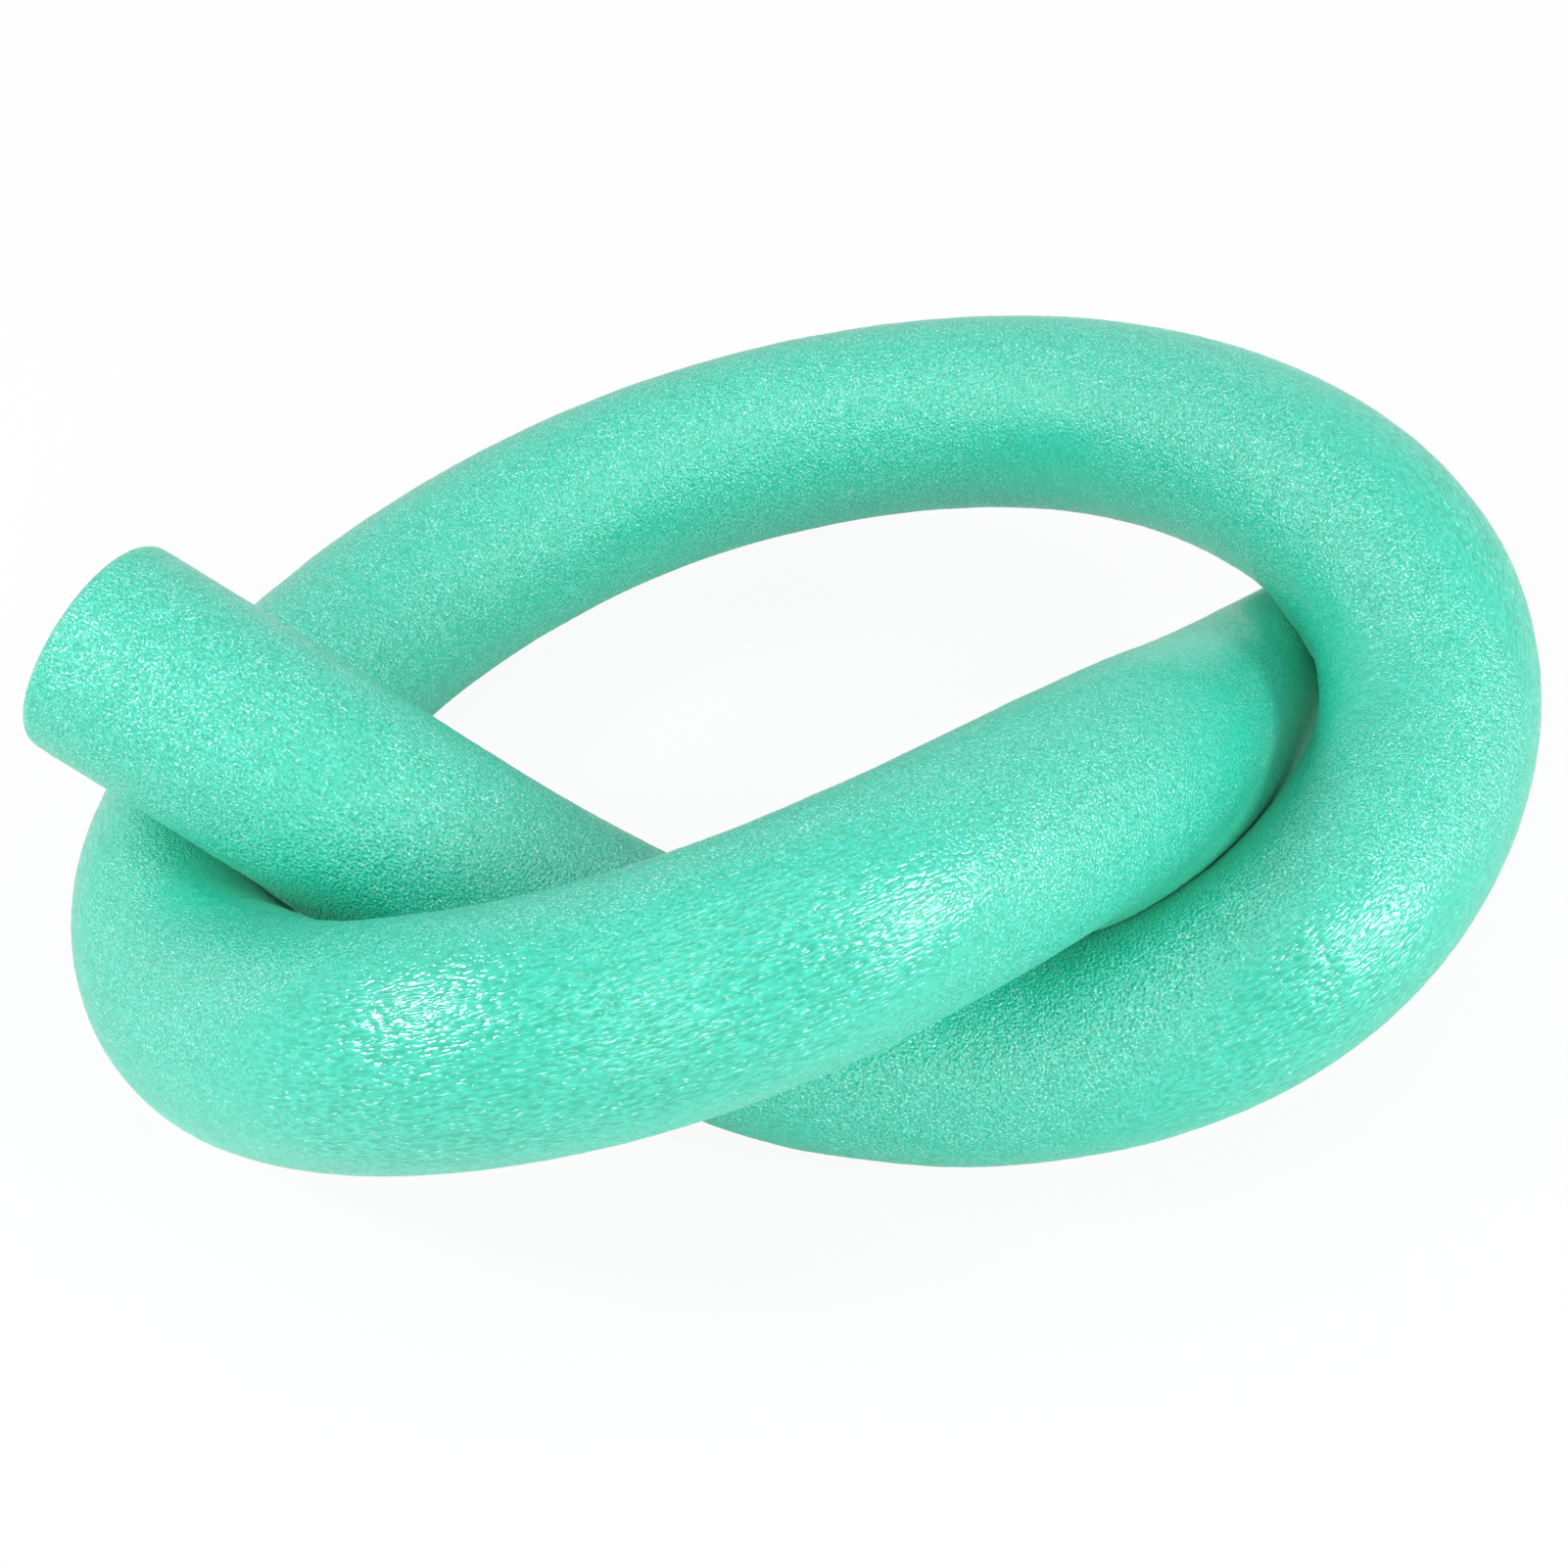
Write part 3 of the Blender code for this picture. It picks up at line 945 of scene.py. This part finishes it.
@dataclass
class FoamBar:
    """The whole bar: its middle line and the lengths of skin along it.

    A bend is where the skin would start to follow the next body and where it would follow it wholly; each
    length between two bodies keeps it, but the skin is not bent.
    """

    line: MiddleLine = field(default_factory=MiddleLine)
    contact: StrandContact = field(default_factory=StrandContact)
    relief: SkinRelief = field(default_factory=SkinRelief)
    skin: FoamSkin = field(default_factory=FoamSkin)
    cut: FoamCut = field(default_factory=FoamCut)
    sides: int = 240
    tip_stop: float = 0.143
    tip_bend: Range = (0.133, 0.053)
    end_stop: float = 0.283
    end_bend: Range = (0.253, 0.153)
    knot_stop: float = 1.433
    tucked_bend: Range = (1.473, 1.563)
    rim_reach: float = 30 * MM
    rim_match: float = 0.01 * MM

    def lengths(self) -> list[SkinLength]:
        """The lengths in order from the free end.

        Returns:
            Each length with its bodies and the solids that it stands for.
        """
        quarter = (self.knot_stop - self.end_stop) / 4
        marks = [self.end_stop + quarter * k for k in range(5)]
        knot = ("knot",)
        return [
            SkinLength("free_tip_skin", 0.0, self.tip_stop, ("free_end", "free_tip"), ("free_tip",),
                       start_kind=EndKind.FREE, bend=self.tip_bend),
            SkinLength("free_end_skin", self.tip_stop, self.end_stop, ("knot", "free_end"), ("free_end",),
                       bend=self.end_bend),
            SkinLength("lower_skin", marks[0], marks[1], knot, ("lower_run", "lower_right_bend")),
            SkinLength("right_skin", marks[1], marks[2], knot, ("right_bend", "back_right_bend")),
            SkinLength("back_left_skin", marks[2], marks[3], knot, ("back_arc", "back_left_bend")),
            SkinLength("front_skin", marks[3], marks[4], knot,
                       ("left_bend", "front_left_bend", "front_run", "front_run_dip")),
            SkinLength("tucked_end_skin", self.knot_stop, self.line.length, ("knot", "tucked_end"),
                       ("tucked_end",), stop_kind=EndKind.FREE, bend=self.tucked_bend),
        ]

    def rim(self, mesh: bpy.types.Mesh, place: float) -> tuple[np.ndarray, np.ndarray, np.ndarray]:
        """The skin's rim at a joint, in order round the bar, with the skin faces' corners on it.

        Args:
            mesh: a length's mesh.
            place: where the joint is, along the bar.

        Returns:
            For each rim point the sum of its faces' normals, and for each corner of the mesh that
            lies on the rim its number and its rim point.
        """
        count = len(mesh.vertices)
        columns = {}
        for name in ("station", "crease", "reach", "turn"):
            columns[name] = np.zeros(count, np.float32)
            mesh.attributes[name].data.foreach_get("value", columns[name])
        on_rim = abs(columns["station"] - place) < self.rim_match
        on_rim &= (columns["crease"] > SkinTree.CREASED) & (columns["reach"] > self.rim_reach)
        rim = np.flatnonzero(on_rim)
        rim = rim[np.argsort(columns["turn"][rim])]
        order = np.full(count, -1)
        order[rim] = np.arange(len(rim))
        corners = np.zeros(len(mesh.loops), np.int32)
        mesh.loops.foreach_get("vertex_index", corners)
        faces = len(mesh.polygons)
        normals = np.zeros(faces * 3, np.float32)
        mesh.polygons.foreach_get("normal", normals)
        areas = np.zeros(faces, np.float32)
        mesh.polygons.foreach_get("area", areas)
        finish = np.zeros(faces, np.int32)
        mesh.polygons.foreach_get("material_index", finish)
        sizes = np.zeros(faces, np.int32)
        mesh.polygons.foreach_get("loop_total", sizes)
        face = np.repeat(np.arange(faces), sizes)
        touching = np.flatnonzero((order[corners] >= 0) & (finish[face] == 0))
        point = order[corners[touching]]
        total = np.zeros((len(rim), 3))
        np.add.at(total, point, (normals.reshape(-1, 3) * areas[:, None])[face[touching]])
        return total, touching, point

    def smooth_joints(self, lengths: list[SkinLength], pieces: list[bpy.types.Object]) -> None:
        """Gives two neighbours the same normals where they meet, so that no seam shows.

        Args:
            lengths: the lengths in order.
            pieces: their pieces.
        """
        custom = [np.zeros((len(piece.data.loops), 3), np.float32) for piece in pieces]
        for k in range(len(pieces) - 1):
            place = lengths[k].stop
            rims = [self.rim(pieces[j].data, place) for j in (k, k + 1)]
            total = rims[0][0] + rims[1][0]
            total /= np.linalg.norm(total, axis=1, keepdims=True)
            for j, (_, corners, point) in zip((k, k + 1), rims):
                custom[j][corners] = total[point]
        for piece, normals in zip(pieces, custom):
            piece.data.normals_split_custom_set(normals)

    def build(self) -> list[bpy.types.Object]:
        """Builds the bar.

        Returns:
            Its pieces.
        """
        tree = SkinTree(self.relief)
        skin, cut = self.skin.material(), self.cut.material()
        lengths = self.lengths()
        pieces = []
        for length in lengths:
            pieces.append(length.build(self.line, tree, self.sides, skin, cut))
            self.contact.press(pieces[-1].data, self.line, length.radius)
            log.info("%s: %d faces", length.name, len(pieces[-1].data.polygons))
        self.smooth_joints(lengths, pieces)
        for length, piece in zip(lengths, pieces):
            length.attach(piece, self.line)
        return pieces


@dataclass(frozen=True)
class Softbox:
    """A soft lamp: a place, a width and a height in metres, and a power in watts."""

    name: str
    place: Place
    width: float
    height: float
    power: float
    aim: Place = (0.0, 0.0, 0.06)

    def hang(self) -> None:
        """Hangs the lamp so that it faces its aim."""
        lamp = bpy.data.lights.new(self.name, "AREA")
        lamp.shape = "RECTANGLE"
        lamp.size, lamp.size_y, lamp.energy = self.width, self.height, self.power
        hung = bpy.data.objects.new(self.name, lamp)
        bpy.context.scene.collection.objects.link(hung)
        hung.location = self.place
        hung.rotation_mode = "QUATERNION"
        hung.rotation_quaternion = (Vector(self.aim) - Vector(self.place)).to_track_quat("-Z", "Y")
        hung.visible_camera = False


@dataclass
class Studio:
    """A plain pale floor under soft light, on a white ground.

    The sky's range is the height, from level at 0 to straight up at 1, over which its side's
    strength passes into its top's.
    """

    lamps: tuple[Softbox, ...] = (
        Softbox("left_softbox", (-1.35, -0.36, 1.08), 0.44, 0.44, 12.4),
        Softbox("right_softbox", (1.48, -0.54, 0.90), 0.85, 0.50, 14.0),
        Softbox("top_softbox", (0.05, -0.15, 1.35), 1.20, 0.40, 2.6),
        Softbox("front_softbox", (0.10, -1.50, 0.90), 0.90, 0.60, 4.6),
    )
    floor_width: float = 6.0
    floor_drop: float = 0.2 * MM
    floor_colour: Colour = (0.93, 0.93, 0.93, 1.0)
    floor_glow: float = 0.92
    floor_mirrored: float = 0.10
    sky_top: float = 0.36
    sky_side: float = 0.76
    sky_range: Range = (0.0, 0.8)
    sky_mirrored: float = 0.7

    def floor_material(self) -> bpy.types.Material:
        """A matt white that the camera sees as white, with a little of the object's shadow.

        Returns:
            The material.
        """
        made = bpy.data.materials.new("studio_floor")
        made.use_nodes = True
        tree = made.node_tree
        tree.nodes.clear()
        nodes = Nodes(tree)
        matt = nodes.add("ShaderNodeBsdfDiffuse", {"Color": self.floor_colour}).outputs[0]
        glow = nodes.add("ShaderNodeEmission", {"Color": WHITE, "Strength": 1.0}).outputs[0]
        share = nodes.math("MULTIPLY", self.seen(nodes, self.floor_mirrored), self.floor_glow)
        mixed = nodes.add("ShaderNodeMixShader", {0: share, 1: matt, 2: glow}).outputs[0]
        nodes.add("ShaderNodeOutputMaterial", {"Surface": mixed})
        return made

    @staticmethod
    def seen(nodes: Nodes, mirrored: float) -> Socket:
        """Whether a ray comes from the camera, or from a shiny or a clear surface.

        Args:
            nodes: the tree that asks.
            mirrored: how much of the white such a surface shows.

        Returns:
            1 where it comes from the camera, mirrored where it comes from such a surface, else 0.
        """
        path = nodes.add("ShaderNodeLightPath").outputs
        shiny = nodes.math("MAXIMUM", path["Is Glossy Ray"], path["Is Transmission Ray"])
        return nodes.math("MAXIMUM", path["Is Camera Ray"], nodes.math("MULTIPLY", shiny, mirrored))

    def floor(self) -> None:
        """Lays the floor just under the object."""
        half = self.floor_width / 2
        corners = [(-half, -half), (half, -half), (half, half), (-half, half)]
        mesh = bpy.data.meshes.new("studio_floor")
        mesh.from_pydata([(x, y, -self.floor_drop) for x, y in corners], [], [(0, 1, 2, 3)])
        mesh.materials.append(self.floor_material())
        floor = bpy.data.objects.new("studio_floor", mesh)
        bpy.context.scene.collection.objects.link(floor)

    def world(self) -> None:
        """Lights the object from all round, more from the sides, and shows the camera plain white."""
        world = bpy.data.worlds.new("studio_world")
        world.use_nodes = True
        bpy.context.scene.world = world
        tree = world.node_tree
        nodes = Nodes(tree)
        way = nodes.add("ShaderNodeSeparateXYZ", {0: nodes.add("ShaderNodeTexCoord").outputs["Generated"]})
        height = nodes.rise(way.outputs["Z"], *self.sky_range)
        lit = nodes.math("MULTIPLY_ADD", height, self.sky_top - self.sky_side, self.sky_side)
        seen = self.seen(nodes, self.sky_mirrored)
        strength = nodes.math("MULTIPLY_ADD", seen, nodes.math("SUBTRACT", 1.0, lit), lit)
        ground = tree.nodes["Background"]
        ground.inputs["Color"].default_value = WHITE
        tree.links.new(strength, ground.inputs["Strength"])

    def build(self) -> None:
        """Sets the whole stage up."""
        self.floor()
        self.world()
        for lamp in self.lamps:
            lamp.hang()
        bpy.context.scene.view_settings.view_transform = "Standard"


@dataclass
class PhotoCamera:
    """The camera at the photograph's viewing angle. The pixels are the photograph's own."""

    elevation: float = math.radians(40.79)
    distance: float = 0.8214
    roll: float = 0.058
    target: Place = (-0.00756, 0.00885, 0.03555)
    focal_pixels: float = 2696.5
    frame_pixels: float = 1601.0
    sensor: float = 36.0

    def build(self) -> None:
        """Makes the camera and puts it in charge."""
        data = bpy.data.cameras.new("photo_camera")
        data.sensor_width = self.sensor
        data.lens = self.focal_pixels / self.frame_pixels * self.sensor
        camera = bpy.data.objects.new("photo_camera", data)
        bpy.context.scene.collection.objects.link(camera)
        back = Vector((0.0, -math.cos(self.elevation), math.sin(self.elevation)))
        level = Vector((1.0, 0.0, 0.0))
        up = back.cross(level)
        right = level * math.cos(self.roll) + up * math.sin(self.roll)
        turned_up = up * math.cos(self.roll) - level * math.sin(self.roll)
        axes = Matrix((right, turned_up, back)).transposed().to_4x4()
        camera.matrix_world = Matrix.Translation(Vector(self.target) + back * self.distance) @ axes
        bpy.context.scene.camera = camera


def main() -> None:
    """Builds the object, the stage and the camera."""
    logging.basicConfig(level=logging.INFO, format="%(name)s: %(message)s")
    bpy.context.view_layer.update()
    PhotoCamera().build()
    log.info("camera")
    FoamBar().build()
    log.info("bar")
    Studio().build()
    log.info("studio")


if __name__ == "__main__":
    main()
